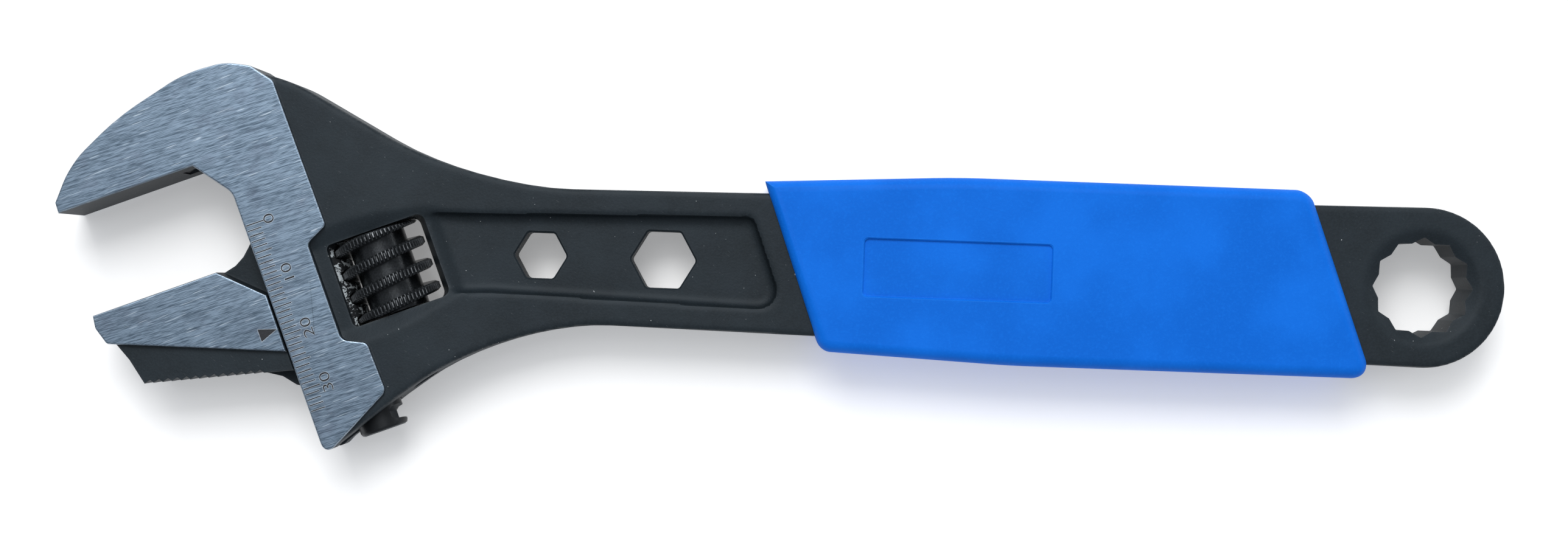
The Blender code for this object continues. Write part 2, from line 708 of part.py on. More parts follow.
def centre_on_base(wrench):
    """Moves the whole wrench so that the middle of its base is the origin."""
    bpy.context.view_layer.update()
    graph = bpy.context.evaluated_depsgraph_get()
    corners = []
    for item in PIECES.objects:
        if item.type == "EMPTY":
            continue
        shape = item.evaluated_get(graph)
        mesh = shape.to_mesh()
        corners += [shape.matrix_world @ v.co for v in mesh.vertices]
        shape.to_mesh_clear()
    low = Vector([min(c[k] for c in corners) for k in range(3)])
    high = Vector([max(c[k] for c in corners) for k in range(3)])
    wrench.location = (-(low.x + high.x) / 2, -(low.y + high.y) / 2, -low.z)


clear_scene()
PIECES = collection("adjustable_wrench")
CUTTERS = collection("cutters")

wrench_frame = frame_empty("wrench_frame", None, (0, 0, 0))
head_frame = frame_empty("head_frame", wrench_frame, (0, THROAT_OFFSET, 0), (0, 0, math.pi + HEAD_ANGLE))
jaw_frame = frame_empty("jaw_frame", head_frame, (0, OPENING, 0))
knurl_frame = frame_empty("knurl_frame", head_frame, (-KNURL_U, WINDOW_W, 0), (math.pi / 2, 0, 0))

make_body(wrench_frame, head_frame)
make_jaw(jaw_frame, knurl_frame)
make_knurl(knurl_frame)
make_pin(head_frame)
make_spring(knurl_frame)
make_sleeve(wrench_frame)
centre_on_base(wrench_frame)
CUTTERS.hide_render = True
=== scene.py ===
"""Adjustable wrench with a ring end: the finished surfaces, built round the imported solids."""

import json
import math

import bmesh
import bpy
from mathutils import Matrix, Vector


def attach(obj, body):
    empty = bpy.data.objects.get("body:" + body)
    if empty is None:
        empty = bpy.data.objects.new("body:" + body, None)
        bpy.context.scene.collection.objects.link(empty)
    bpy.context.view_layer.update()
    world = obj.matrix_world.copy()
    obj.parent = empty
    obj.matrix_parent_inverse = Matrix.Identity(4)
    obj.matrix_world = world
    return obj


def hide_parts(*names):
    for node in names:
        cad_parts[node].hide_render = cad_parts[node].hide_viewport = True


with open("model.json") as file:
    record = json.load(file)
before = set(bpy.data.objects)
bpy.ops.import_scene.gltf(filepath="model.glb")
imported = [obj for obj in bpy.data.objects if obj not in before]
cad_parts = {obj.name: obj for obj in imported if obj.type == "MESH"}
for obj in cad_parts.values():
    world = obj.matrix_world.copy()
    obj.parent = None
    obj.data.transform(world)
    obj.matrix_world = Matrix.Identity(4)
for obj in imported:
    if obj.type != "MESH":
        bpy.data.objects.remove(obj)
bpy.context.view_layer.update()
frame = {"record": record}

# ---------------------------------------------------------------- Forged body
# One drop forging in steel: fixed jaw, head, neck, bar with two hexagon holes, and ring.
# It is blackened all over, and then the two faces of the head are ground bright and the scale is etched.

MM = 0.001
openings = {hole["name"]: hole["box_m"] for hole in frame["record"]["physics"]["openings"]}
mounts = {mount["name"]: mount for mount in frame["record"]["mounts"]}
opening_way = Vector(mounts["fixed_jaw_face"]["axis"])
tip_way = Vector((opening_way.y, -opening_way.x, 0))
FACE_MIDDLE = 17
throat = Vector(mounts["fixed_jaw_face"]["pos_m"]) - tip_way * FACE_MIDDLE * MM


def hole_middle(name):
    """Middle of a stated opening, on the wrench's middle plane."""
    low, high = openings[name]
    return Vector(((low[0] + high[0]) / 2, (low[1] + high[1]) / 2, throat.z))


# The head is laid out in its own directions: x runs out to the jaw tips, and y is the way the jaw opens.
HEAD = Matrix.LocRotScale(throat, Matrix((tip_way, opening_way, (0, 0, 1))).transposed(), None)
HANDLE = Matrix.Translation((throat.x, hole_middle("ring_hole").y, throat.z))
RING_X = (hole_middle("ring_hole").x - throat.x) / MM
THROAT_Y = (throat.y - hole_middle("ring_hole").y) / MM
HEAD_HALF = throat.z / MM


def head_to_handle(x, y):
    """A point of the head, given in the handle's directions."""
    place = HANDLE.inverted() @ HEAD @ Vector((x * MM, y * MM, 0))
    return place.x / MM, place.y / MM


def edit():
    bpy.ops.object.mode_set(mode="EDIT")


def done():
    bpy.ops.object.mode_set(mode="OBJECT")


def pick(part, wanted):
    """In edit mode, selects the vertices, edges or faces for which wanted is true, and nothing else."""
    bpy.ops.mesh.select_mode(type=part)
    bpy.ops.mesh.select_all(action="DESELECT")
    shape = bmesh.from_edit_mesh(bpy.context.object.data)
    for element in {"VERT": shape.verts, "EDGE": shape.edges, "FACE": shape.faces}[part]:
        if wanted(element):
            element.select_set(True)
    bmesh.update_edit_mesh(bpy.context.object.data)


def middle_of(element):
    return sum((v.co for v in element.verts), Vector()) / len(element.verts) / MM


def added(name, operator, **settings):
    """Runs an operator that adds an object, with nothing else selected, and names what it added."""
    bpy.ops.object.select_all(action="DESELECT")
    operator(**settings)
    item = bpy.context.object
    item.name = name
    item.data.name = name
    return item


def plate(name, corners, low, high):
    """A flat blank: an n-gon with its (x, y, radius) corners put in place and rounded, then made thick."""
    circle = bpy.ops.mesh.primitive_circle_add
    item = added(name, circle, vertices=len(corners), radius=0.01, fill_type="NGON")
    edit()
    starts = [v.co.copy() for v in bmesh.from_edit_mesh(item.data).verts]
    places = [Vector((x * MM, y * MM, low * MM)) for x, y, _ in corners]
    for start, place in zip(starts, places):
        pick("VERT", lambda v: (v.co - start).length < 1e-8)
        bpy.ops.transform.translate(value=place - start)
    for i, place in enumerate(places):
        before, after = places[i - 1] - place, places[(i + 1) % len(places)] - place
        turn = math.pi - before.angle(after)
        if corners[i][2]:
            pick("VERT", lambda v: (v.co - place).length < 1e-7)
            bpy.ops.mesh.bevel(
                offset_type="OFFSET", offset=corners[i][2] * MM * math.tan(turn / 2), profile=0.5,
                segments=max(3, math.ceil(math.degrees(turn) / 4)), affect="VERTICES",
            )
    bpy.ops.mesh.select_all(action="SELECT")
    bpy.ops.mesh.extrude_region_move(TRANSFORM_OT_translate={"value": (0, 0, (high - low) * MM)})
    bpy.ops.mesh.select_all(action="SELECT")
    bpy.ops.mesh.normals_make_consistent(inside=False)
    done()
    return item


def is_rim(edge):
    """Whether an edge lies between a flat face and an upright side."""
    flat = [abs(face.normal.z) > 0.7 for face in edge.link_faces]
    return sorted(flat) == [False, True]


def rounded(item, wanted, width, segments):
    """Rounds the edges for which wanted is true."""
    edit()
    pick("EDGE", wanted)
    bpy.ops.mesh.bevel(offset=width * MM, segments=segments, profile=0.5, affect="EDGES", clamp_overlap=True)
    done()
    return item


def turned(name, radius, start, end, sides=64, along="Y", chamfer=0.0, cone=None):
    """A round bar or bore between two points of its own axis."""
    start, end = Vector(start) * MM, Vector(end) * MM
    turn = {"Y": (-math.pi / 2, 0, 0), "Z": (0, 0, 0)}[along]
    item = added(
        name, bpy.ops.mesh.primitive_cone_add, vertices=sides, radius1=radius * MM,
        radius2=(radius if cone is None else cone) * MM, depth=(end - start).length,
        location=(start + end) / 2, rotation=turn,
    )
    bpy.ops.object.transform_apply(location=True, rotation=True, scale=True)
    if chamfer:
        rounded(item, lambda e: any(len(f.verts) > 4 for f in e.link_faces), chamfer, 2)
    return item


def moved(item, place):
    """Puts a shape where it belongs and leaves its object at the origin."""
    bpy.ops.object.select_all(action="DESELECT")
    item.select_set(True)
    bpy.context.view_layer.objects.active = item
    item.matrix_world = place
    bpy.ops.object.transform_apply(location=True, rotation=True, scale=True)
    return item


def modified(item, kind, **settings):
    """Adds a modifier, sets it and applies it."""
    bpy.context.view_layer.objects.active = item
    modifier = item.modifiers.new(kind, kind)
    for name, value in settings.items():
        setattr(modifier, name, value)
    bpy.ops.object.modifier_apply(modifier=modifier.name)
    return item


def worked(item, operation, *others):
    """Cuts other shapes from a piece, or joins them to it, and clears them away."""
    for other in others:
        modified(item, "BOOLEAN", operation=operation, object=other, solver="MANIFOLD")
        bpy.data.objects.remove(other)
    return item


def mirrored(item, name):
    """A second copy of a shape on the other side of the middle plane."""
    bpy.ops.object.select_all(action="DESELECT")
    item.select_set(True)
    bpy.context.view_layer.objects.active = item
    bpy.ops.object.duplicate()
    other = bpy.context.object
    other.name = name
    edit()
    bpy.ops.mesh.select_all(action="SELECT")
    bpy.ops.transform.mirror(constraint_axis=(False, False, True), center_override=(0, 0, 0))
    bpy.ops.mesh.normals_make_consistent(inside=False)
    done()
    return other


def shaded(item, degrees):
    """Smooth shading that keeps flat faces flat."""
    bpy.ops.object.select_all(action="DESELECT")
    item.select_set(True)
    bpy.context.view_layer.objects.active = item
    bpy.ops.object.shade_smooth_by_angle(angle=math.radians(degrees))
    modified(item, "WEIGHTED_NORMAL", keep_sharp=True, weight=80)
    return item


BAR_HALF, HEAD_FORGING, WEB_HALF = 5.9, 7.2, 3.3
NECK_HALF, RING_RADIUS, NECK_START = 11.5, 14.2, 62.0
FORGED_EDGE = 2.0
HEAD_DEPTH, HEAD_CROWN, HEAD_LENGTH = 13.4, 15.67, 55.12
JAW_LENGTH = 29.6
WINDOW_Y, WINDOW_LENGTH, WINDOW_FRONT, WINDOW_BACK, WINDOW_SHADE_NARROWING = 28.13, 15.1, 11.8, 29.7, 1.75
KNURL_X = 19.7
RACK_X, RACK_RADIUS, CLEARANCE = 10.0, 4.3, 0.3


def bar_half_width(x):
    """Half width of the bar, which widens evenly from the neck to the ring."""
    return NECK_HALF + (x - NECK_START) / (RING_X - NECK_START) * (RING_RADIUS - NECK_HALF)


def fall(distance, length):
    """1 at the start of a slope and 0 at its end, in an S."""
    share = min(1, max(0, distance / length))
    return 1 - share * share * (3 - 2 * share)


def forging_half(x, y):
    """Half thickness of the forging, which falls in an S behind the head."""
    behind = (HEAD.inverted() @ HANDLE @ Vector((x, y, 0))).x / MM
    return BAR_HALF + (HEAD_FORGING - BAR_HALF) * fall(-behind - 16, 22)


ring_end = RING_X + RING_RADIUS
forging = plate(
    "wrench_body",
    [
        (*head_to_handle(-2, HEAD_LENGTH - 5.2), 0),
        (*head_to_handle(-2, -5), 0),
        (*head_to_handle(-5, 1.4 - HEAD_CROWN), 0),
        (9.0, 15.15 + THROAT_Y, 25),
        (43.8, NECK_HALF, 66),
        (ring_end, RING_RADIUS, RING_RADIUS - CLEARANCE),
        (ring_end, -RING_RADIUS, RING_RADIUS - CLEARANCE),
        (50.4, -NECK_HALF, 52),
        (*head_to_handle(-15, HEAD_LENGTH - 5.6), 20),
        (*head_to_handle(-1.2, HEAD_LENGTH - 0.9), 0),
    ],
    -BAR_HALF,
    BAR_HALF,
)
edit()
for cut in range(12):
    bpy.ops.mesh.select_all(action="SELECT")
    point = Vector((*head_to_handle(-16 - 2 * cut, 0), 0)) * MM
    bpy.ops.mesh.bisect(plane_co=point, plane_no=tip_way)
shape = bmesh.from_edit_mesh(forging.data)
for vert in shape.verts:
    vert.co.z = math.copysign(forging_half(vert.co.x, vert.co.y) * MM, vert.co.z)
shape.normal_update()
bmesh.update_edit_mesh(forging.data)
done()
rounded(forging, is_rim, FORGED_EDGE, 6)

DISH_RADIUS, DISH_DEPTH = 10.1, 1.7
dish = turned(
    "ring_dish", DISH_RADIUS - 1.9 * DISH_DEPTH, (RING_X, 0, BAR_HALF - DISH_DEPTH),
    (RING_X, 0, BAR_HALF + DISH_DEPTH), 96, "Z", cone=DISH_RADIUS + 1.9 * DISH_DEPTH,
)
worked(forging, "DIFFERENCE", mirrored(dish, "ring_dish_under"), dish)

window_top, window_foot = WINDOW_Y - WINDOW_LENGTH / 2, WINDOW_Y + WINDOW_LENGTH / 2
RECESS_START, RECESS_END, RECESS_LEAN = 41.4, 95.6, math.tan(math.radians(20.3))
RAMP_LENGTH, SILL_LENGTH, RAMP_RISE, SILL_RISE = 8.0, 2.4, 0.8, 1.3


upper, lower = bar_half_width(RECESS_START) - 4.5, bar_half_width(RECESS_END) - 4.1
recess = plate(
    "bar_recess",
    [
        (*head_to_handle(2 - WINDOW_BACK, window_top + 0.5), 0),
        (*head_to_handle(-WINDOW_BACK, window_top + 0.2), 0),
        (RECESS_END - RECESS_LEAN * lower, lower, 1.6),
        (RECESS_END + RECESS_LEAN * lower, -lower, 3.5),
        (RECESS_START + 6, -upper, 12),
        (*head_to_handle(-WINDOW_BACK, window_foot - 0.2), 0),
        (*head_to_handle(2 - WINDOW_BACK, window_foot - 0.5), 0),
    ],
    WEB_HALF,
    2 * HEAD_HALF,
)
rounded(recess, lambda e: is_rim(e) and middle_of(e).z < WEB_HALF + 0.1, 1.2, 5)
edit()
for cut in range(21):
    bpy.ops.mesh.select_all(action="SELECT")
    point = Vector((*head_to_handle(-WINDOW_BACK - cut * RAMP_LENGTH / 20, 0), 0)) * MM
    bpy.ops.mesh.bisect(plane_co=point, plane_no=tip_way)
for vert in bmesh.from_edit_mesh(recess.data).verts:
    behind = -WINDOW_BACK - (HEAD.inverted() @ HANDLE @ vert.co).x / MM
    if vert.co.z < (WEB_HALF + 1.3) * MM:
        vert.co.z += (RAMP_RISE * fall(behind, RAMP_LENGTH) + SILL_RISE * fall(behind, SILL_LENGTH)) * MM
bmesh.update_edit_mesh(recess.data)
done()
worked(forging, "DIFFERENCE", mirrored(recess, "bar_recess_under"), recess)

basin_floor, basin_rise = HEAD_FORGING - 1.2, 3.0
basin = plate(
    "window_basin",
    [
        (-HEAD_DEPTH + 4.6, window_top, 0),
        (-WINDOW_BACK - 3, window_top, 0),
        (-WINDOW_BACK - 3, window_foot, 0),
        (-HEAD_DEPTH + 4.6, window_foot, 0),
    ],
    basin_floor,
    basin_floor + basin_rise,
)
edit()
for side in (1, -1):
    pick("VERT", lambda v: v.co.z > (basin_floor + 1) * MM and side * (v.co.y / MM - WINDOW_Y) > 0)
    bpy.ops.transform.translate(value=(0, side * 2.4 * basin_rise * MM, 0))
done()
basin_under = mirrored(basin, "window_basin_under")
to_handle = HANDLE.inverted() @ HEAD
worked(forging, "DIFFERENCE", moved(basin, to_handle), moved(basin_under, to_handle))

# The hammered skin: every edge of the forging comes out a little soft, outside and in.
modified(forging, "REMESH", mode="VOXEL", voxel_size=0.47 * MM)
modified(forging, "SMOOTH", factor=0.5, iterations=4)


def flare(item, side, reach):
    """Opens one end of a cutter out, from reach below its end, so that its edge comes out chamfered."""
    edit()
    pick("FACE", lambda f: side * f.normal.z > 0.9)
    bpy.ops.mesh.extrude_region_move(TRANSFORM_OT_translate={"value": (0, 0, side * 2 * reach * MM)})
    tip = [v.co.copy() for v in bmesh.from_edit_mesh(item.data).verts if v.select]
    hub = sum(tip, Vector()) / len(tip)
    grow = [1 + 2 * reach * MM / max(abs(v[k] - hub[k]) for v in tip) for k in (0, 1)]
    bpy.ops.transform.resize(value=(*grow, 1), center_override=hub)
    bpy.ops.mesh.extrude_region_move(TRANSFORM_OT_translate={"value": (0, 0, side * HEAD_HALF * MM)})
    bpy.ops.mesh.select_all(action="SELECT")
    bpy.ops.mesh.normals_make_consistent(inside=False)
    done()
    return item


for name, across_flats in (("small_hex_hole", 8.0), ("large_hex_hole", 9.9)):
    centre = (hole_middle(name).x - throat.x) / MM
    reach = across_flats / math.sqrt(3)
    corners = [
        (centre + reach * math.cos(i * math.pi / 3), reach * math.sin(i * math.pi / 3), 0.8) for i in range(6)
    ]
    hexagon = plate(name, corners, 0.3 - WEB_HALF, WEB_HALF - 0.3)
    worked(forging, "DIFFERENCE", flare(flare(hexagon, 1, 0.3), -1, 0.3))

ACROSS_POINTS = 15.2
outer, inner = ACROSS_POINTS / math.sqrt(3), ACROSS_POINTS / 2 / math.cos(math.radians(15))
star = plate(
    "ring_points",
    [
        (RING_X + r * math.cos(i * math.pi / 12), r * math.sin(i * math.pi / 12), 0.35)
        for i, r in enumerate([outer, inner] * 12)
    ],
    -HEAD_HALF,
    HEAD_HALF,
)
worked(forging, "DIFFERENCE", star)
moved(forging, HANDLE)

back, notch = -HEAD_DEPTH, -HEAD_DEPTH + 4
GROUND_EDGE = 0.35
ground = plate(
    "ground_head",
    [
        (JAW_LENGTH, 0, 0),
        (JAW_LENGTH - 0.1, -1.9, 0),
        (JAW_LENGTH - 4.8, 8.3 - HEAD_CROWN, 16),
        (JAW_LENGTH - 15.1, 3.4 - HEAD_CROWN, 40),
        (1.0, -HEAD_CROWN, 20),
        (-6.2, 0.5 - HEAD_CROWN, 8),
        (-10.2, 2.5 - HEAD_CROWN, 1.5),
        (back + 0.3, 6.3 - HEAD_CROWN, 1.5),
        (back, window_top - 3.2, 1.0),
        (notch, window_top - 1.3, 1.2),
        (notch, window_foot + 1.3, 1.6),
        (back, window_foot + 3.2, 1.2),
        (back - 0.3, HEAD_LENGTH - 7.2, 1.5),
        (0, HEAD_LENGTH, 1.5),
        (0, 6.6, 3.0),
        (4.95, 0, 0),
    ],
    -HEAD_HALF,
    HEAD_HALF,
)
rounded(ground, is_rim, GROUND_EDGE, 2)
worked(forging, "UNION", moved(ground, HEAD))

window = plate(
    "window",
    [
        (-WINDOW_FRONT, window_top, 1),
        (-WINDOW_BACK, window_top, 1.5),
        (-WINDOW_BACK, window_foot, 1.5),
        (-WINDOW_FRONT, window_foot, 1),
    ],
    -2 * HEAD_HALF,
    2 * HEAD_HALF,
)
edit()
for height in (-BAR_HALF, 0, BAR_HALF):
    bpy.ops.mesh.select_all(action="SELECT")
    bpy.ops.mesh.bisect(plane_co=(0, 0, height * MM), plane_no=(0, 0, 1))
# Painted shade: the window's back wall is brought in by this much at the middle plane, so that black steel
# fills the gap beside the knurl where the through window shows only shadowed floor.
pick("VERT", lambda v: abs(v.co.z) < 0.01 * MM and v.co.x < (3 - WINDOW_BACK) * MM)
bpy.ops.transform.translate(value=(WINDOW_SHADE_NARROWING * MM, 0, 0))
done()
WEB_EDGE = ((-1.8, -5.1), (0.2, -4.1), (1.6, -2.7), (3.0, -1.4), (4.8, -0.4), (7.8, 0.3))
WEB_THICKNESS, RACK_ABOVE = 5.0, 5.5
slot = plate(
    "web_slot",
    [(-RACK_X, -RACK_ABOVE - 2 * CLEARANCE, 0)]
    + [(x + CLEARANCE, y - 2 * CLEARANCE, 0) for x, y in WEB_EDGE]
    + [(8.2, HEAD_LENGTH + 10, 0), (-RACK_X, HEAD_LENGTH + 10, 0)],
    -WEB_THICKNESS / 2 - CLEARANCE,
    WEB_THICKNESS / 2 + CLEARANCE,
)
channel = turned(
    "rack_channel", RACK_RADIUS + CLEARANCE, (-RACK_X, -RACK_ABOVE - 2 * CLEARANCE, 0),
    (-RACK_X, HEAD_LENGTH + 10, 0), 96,
)
PIN_RADIUS, PIN_HEAD_RADIUS, PIN_TAIL, PIN_HEAD_LENGTH = 1.5, 2.2, 45.6, 4.0
pin_top = window_top - 8
pin_bore = turned(
    "pin_bore", PIN_RADIUS + CLEARANCE, (-KNURL_X, pin_top - CLEARANCE, 0), (-KNURL_X, HEAD_LENGTH, 0), 48
)
pin_seat = turned(
    "pin_seat", PIN_HEAD_RADIUS + CLEARANCE, (-KNURL_X, PIN_TAIL - PIN_HEAD_LENGTH - CLEARANCE, 0),
    (-KNURL_X, HEAD_LENGTH, 0), 48,
)
head_cutters = [moved(cutter, HEAD) for cutter in (window, slot, channel, pin_bore, pin_seat)]
worked(forging, "DIFFERENCE", *head_cutters)

SCALE_START, ETCH_DEPTH, LINE_WIDTH = 12.93, 0.1, 0.17
marks = []
for line in range(35):
    length = 3.3 if line == 0 else 3.0 if line % 5 == 0 else 2.5
    at = SCALE_START + line
    mark = plate(
        "scale_line",
        [
            (-GROUND_EDGE, at - LINE_WIDTH / 2, 0),
            (-GROUND_EDGE - length, at - LINE_WIDTH / 2, 0),
            (-GROUND_EDGE - length, at + LINE_WIDTH / 2, 0),
            (-GROUND_EDGE, at + LINE_WIDTH / 2, 0),
        ],
        HEAD_HALF - ETCH_DEPTH,
        HEAD_HALF + 1,
    )
    marks.append(moved(mark, HEAD))
for value in (0, 10, 20, 30):
    mark = added("scale_number", bpy.ops.object.text_add)
    mark.data.body = str(value)
    mark.data.size = 2.6 * MM
    mark.data.offset = -0.03 * MM
    mark.data.extrude = 0.5 * MM
    mark.data.align_x = "CENTER"
    mark.data.align_y = "CENTER"
    bpy.ops.object.convert(target="MESH")
    mark = bpy.context.object
    edit()
    bpy.ops.mesh.select_all(action="SELECT")
    bpy.ops.mesh.remove_doubles(threshold=0.001 * MM)
    bpy.ops.mesh.normals_make_consistent(inside=False)
    done()
    place = Matrix.Translation((-4.6 * MM, (SCALE_START + value) * MM, (HEAD_HALF + 0.5 - ETCH_DEPTH) * MM))
    turn = Matrix.Rotation(-math.pi / 2, 4, "Z") @ Matrix.Diagonal((1.45, 1, 1, 1))
    marks.append(moved(mark, HEAD @ place @ turn))
bpy.ops.object.select_all(action="DESELECT")
for mark in marks:
    mark.select_set(True)
bpy.context.view_layer.objects.active = marks[0]
bpy.ops.object.join()
worked(forging, "DIFFERENCE", marks[0])
edit()
pick("FACE", lambda f: middle_of(f).z > 2 * HEAD_HALF - 0.01)
bpy.ops.mesh.dissolve_degenerate(threshold=0.001 * MM)
done()
shaded(forging, 28)


class Field:
    """A number that varies over a surface: Python arithmetic on it adds the shader's Math nodes."""

    def __init__(self, finish, socket):
        self.finish = finish
        self.socket = socket

    def worked_out(self, operation, *values):
        return self.finish.node("ShaderNodeMath", {"operation": operation}, values)

    def __add__(self, other):
        return self.worked_out("ADD", self, other)

    def __sub__(self, other):
        return self.worked_out("SUBTRACT", self, other)

    def __rsub__(self, other):
        return self.worked_out("SUBTRACT", other, self)

    def __mul__(self, other):
        return self.worked_out("MULTIPLY", self, other)

    def __pow__(self, other):
        return self.worked_out("POWER", self, other)

    __radd__ = __add__
    __rmul__ = __mul__

    def between(self, low, high):
        """0 below low, 1 above high, and smooth from one to the other."""
        settings = {"interpolation_type": "SMOOTHSTEP"}
        sockets = {"Value": self, "From Min": low, "From Max": high}
        return self.finish.node("ShaderNodeMapRange", settings, sockets)


class Finish:
    """A surface finish being built up from shader nodes."""

    def __init__(self, name, colour, roughness, metallic):
        self.material = bpy.data.materials.new(name)
        self.material.use_nodes = True
        self.tree = self.material.node_tree
        self.shader = self.tree.nodes["Principled BSDF"]
        self.shader.inputs["Base Color"].default_value = (*colour, 1)
        self.shader.inputs["Roughness"].default_value = roughness
        self.shader.inputs["Metallic"].default_value = metallic

    def fill(self, socket, value):
        if isinstance(value, Field):
            self.tree.links.new(value.socket, socket)
        else:
            socket.default_value = (*value, 1) if socket.type == "RGBA" and len(value) == 3 else value

    def node(self, kind, settings, sockets, out=0):
        """Any node: its settings, then its sockets by name or in order, and the output that is wanted."""
        made = self.tree.nodes.new(kind)
        for name, value in settings.items():
            setattr(made, name, value)
        pairs = sockets.items() if isinstance(sockets, dict) else enumerate(sockets)
        for key, value in pairs:
            self.fill(made.inputs[key], value)
        return Field(self, made.outputs[out])

    def set(self, name, value):
        self.fill(self.shader.inputs[name], value)

    def place(self, scale=(1, 1, 1), turn=0.0):
        """Object coordinates, turned about Z and scaled to make a grain run one way."""
        here = self.node("ShaderNodeTexCoord", {}, {}, "Object")
        turned_here = self.node("ShaderNodeMapping", {}, {"Vector": here, "Rotation": (0, 0, turn)})
        return self.node("ShaderNodeMapping", {}, {"Vector": turned_here, "Scale": scale})

    def noise(self, size, detail=3.0, rough=0.5, scale=(1, 1, 1), turn=0.0):
        """Cloudy noise with features of about this size, in millimetres."""
        sockets = {"Vector": self.place(scale, turn), "Scale": 1 / (size * MM)}
        sockets.update({"Detail": detail, "Roughness": rough})
        return self.node("ShaderNodeTexNoise", {}, sockets)

    def blend(self, share, first, second):
        """A colour between two colours."""
        made = self.node("ShaderNodeMix", {"data_type": "RGBA"}, {}, "Result")
        node = made.socket.node
        colours = [socket for socket in node.inputs if socket.type == "RGBA"]
        self.fill(node.inputs[0], share)
        self.fill(colours[0], first)
        self.fill(colours[1], second)
        return Field(self, [socket for socket in node.outputs if socket.type == "RGBA"][0])

    def edges(self, radius):
        """1 where the surface turns sharply within this radius, in millimetres, and 0 on the flat."""
        soft = self.node("ShaderNodeBevel", {"samples": 6}, {"Radius": radius * MM})
        plain = self.node("ShaderNodeNewGeometry", {}, {}, "Normal")
        match = self.node("ShaderNodeVectorMath", {"operation": "DOT_PRODUCT"}, (soft, plain), "Value")
        return 1 - match

    def bump(self, height, depth, strength=1.0):
        """Raises the surface by up to depth, in millimetres, where height is 1."""
        sockets = {"Height": height, "Distance": depth * MM, "Strength": strength}
        self.set("Normal", self.node("ShaderNodeBump", {}, sockets))


GRIND_TURN = -math.atan2(tip_way.y, tip_way.x)


def black_finish(name):
    """Phosphated black steel: matte, finely grained, rubbed grey along its edges, with a few pale specks."""
    finish = Finish(name, (0.02, 0.024, 0.028), 0.5, 0.3)
    finish.set("Specular IOR Level", 0.3)
    cloud = finish.noise(9, 4, 0.6)
    grain = finish.noise(0.4, 4, 0.7)
    rubbed = finish.edges(0.9).between(0.02, 0.4) * finish.noise(1.2, 4, 0.65).between(0.3, 0.7)
    scratch = finish.noise(1.1, 2, 0.5, (1, 9, 1), 0.6).between(0.735, 0.76)
    speck = finish.noise(0.55, 1, 0.5).between(0.8, 0.82)
    colour = finish.blend(cloud.between(0.3, 0.7), (0.009, 0.0145, 0.019), (0.014, 0.0215, 0.028))
    colour = finish.blend(grain.between(0.35, 0.75) * 0.5, colour, (0.022, 0.032, 0.040))
    colour = finish.blend(rubbed * 0.5, colour, (0.085, 0.095, 0.105))
    colour = finish.blend(scratch * 0.35, colour, (0.16, 0.17, 0.18))
    colour = finish.blend(speck * 0.8, colour, (0.4, 0.42, 0.43))
    finish.set("Base Color", colour)
    finish.set("Roughness", 0.5 + 0.16 * grain - 0.12 * rubbed)
    finish.bump(grain + 0.8 * finish.noise(1.6, 3, 0.6), 0.05, 0.6)
    return finish.material


def ground_finish(name):
    """Ground steel: blue grey, with fine wheel marks that run out along the jaws, and a painted highlight
    along its edges.
    """
    finish = Finish(name, (0.2, 0.26, 0.33), 0.36, 0.9)
    marks = finish.noise(0.1, 2, 0.6, (0.045, 1, 1), GRIND_TURN)
    long_marks = finish.noise(0.32, 3, 0.6, (0.03, 1, 1), GRIND_TURN + 0.05)
    gouge = finish.noise(0.22, 1, 0.4, (0.05, 1, 1), GRIND_TURN - 0.03).between(0.69, 0.74)
    stain = finish.noise(5, 4, 0.65)
    streak = marks * 0.6 + long_marks * 0.4
    colour = finish.blend(streak.between(0.4, 0.585), (0.074, 0.108, 0.148), (0.225, 0.30, 0.385))
    colour = finish.blend(stain.between(0.5, 0.75) * 0.3, colour, (0.10, 0.11, 0.155))
    colour = finish.blend(gouge * 0.7, colour, (0.5, 0.58, 0.66))
    # Painted highlight: the ground edges and chamfers are lightened towards pale steel, standing in for the
    # light they catch.
    painted_edge_highlight = finish.edges(0.3).between(0.02, 0.25)
    colour = finish.blend(painted_edge_highlight * 0.85, colour, (0.85, 0.9, 0.95))
    finish.set("Base Color", colour)
    finish.set("Roughness", 0.32 + 0.2 * long_marks)
    finish.bump(streak, 0.02, 0.5)
    return finish.material


def etched_finish(name):
    """The floor of an etched line: dark and rough."""
    finish = Finish(name, (0.012, 0.013, 0.016), 0.7, 0.2)
    finish.set("Base Color", finish.blend(finish.noise(0.3, 2), (0.008, 0.009, 0.012), (0.03, 0.032, 0.038)))
    return finish.material


black_steel = black_finish("black_steel")
ground_steel = ground_finish("ground_steel")
etched_steel = etched_finish("etched_steel")


def face_finishes(item, ground_side, etched_side):
    """Black all over, then ground on the flat faces and their chamfers, and dark in the etched lines."""
    item.data.materials.clear()
    for material in (black_steel, ground_steel, etched_steel):
        item.data.materials.append(material)
    for face in item.data.polygons:
        height = abs(face.center.z - throat.z) / MM
        level = abs(face.normal.z)
        face.material_index = 0
        if height > HEAD_HALF - 0.01 or height > HEAD_HALF - GROUND_EDGE and 0.3 < level < 0.95:
            face.material_index = ground_side
        elif height > HEAD_HALF - 1.5 * ETCH_DEPTH and level > 0.9:
            face.material_index = etched_side


face_finishes(forging, 1, 2)
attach(forging, "handle")
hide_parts("body")

# ---------------------------------------------------------------- Movable jaw
# One forging too: a ground block, a black flank with pipe teeth, and a thin web down to a round rack.
# The rack runs in the body's channel, and its grooves are milled to fit the knurl's thread.

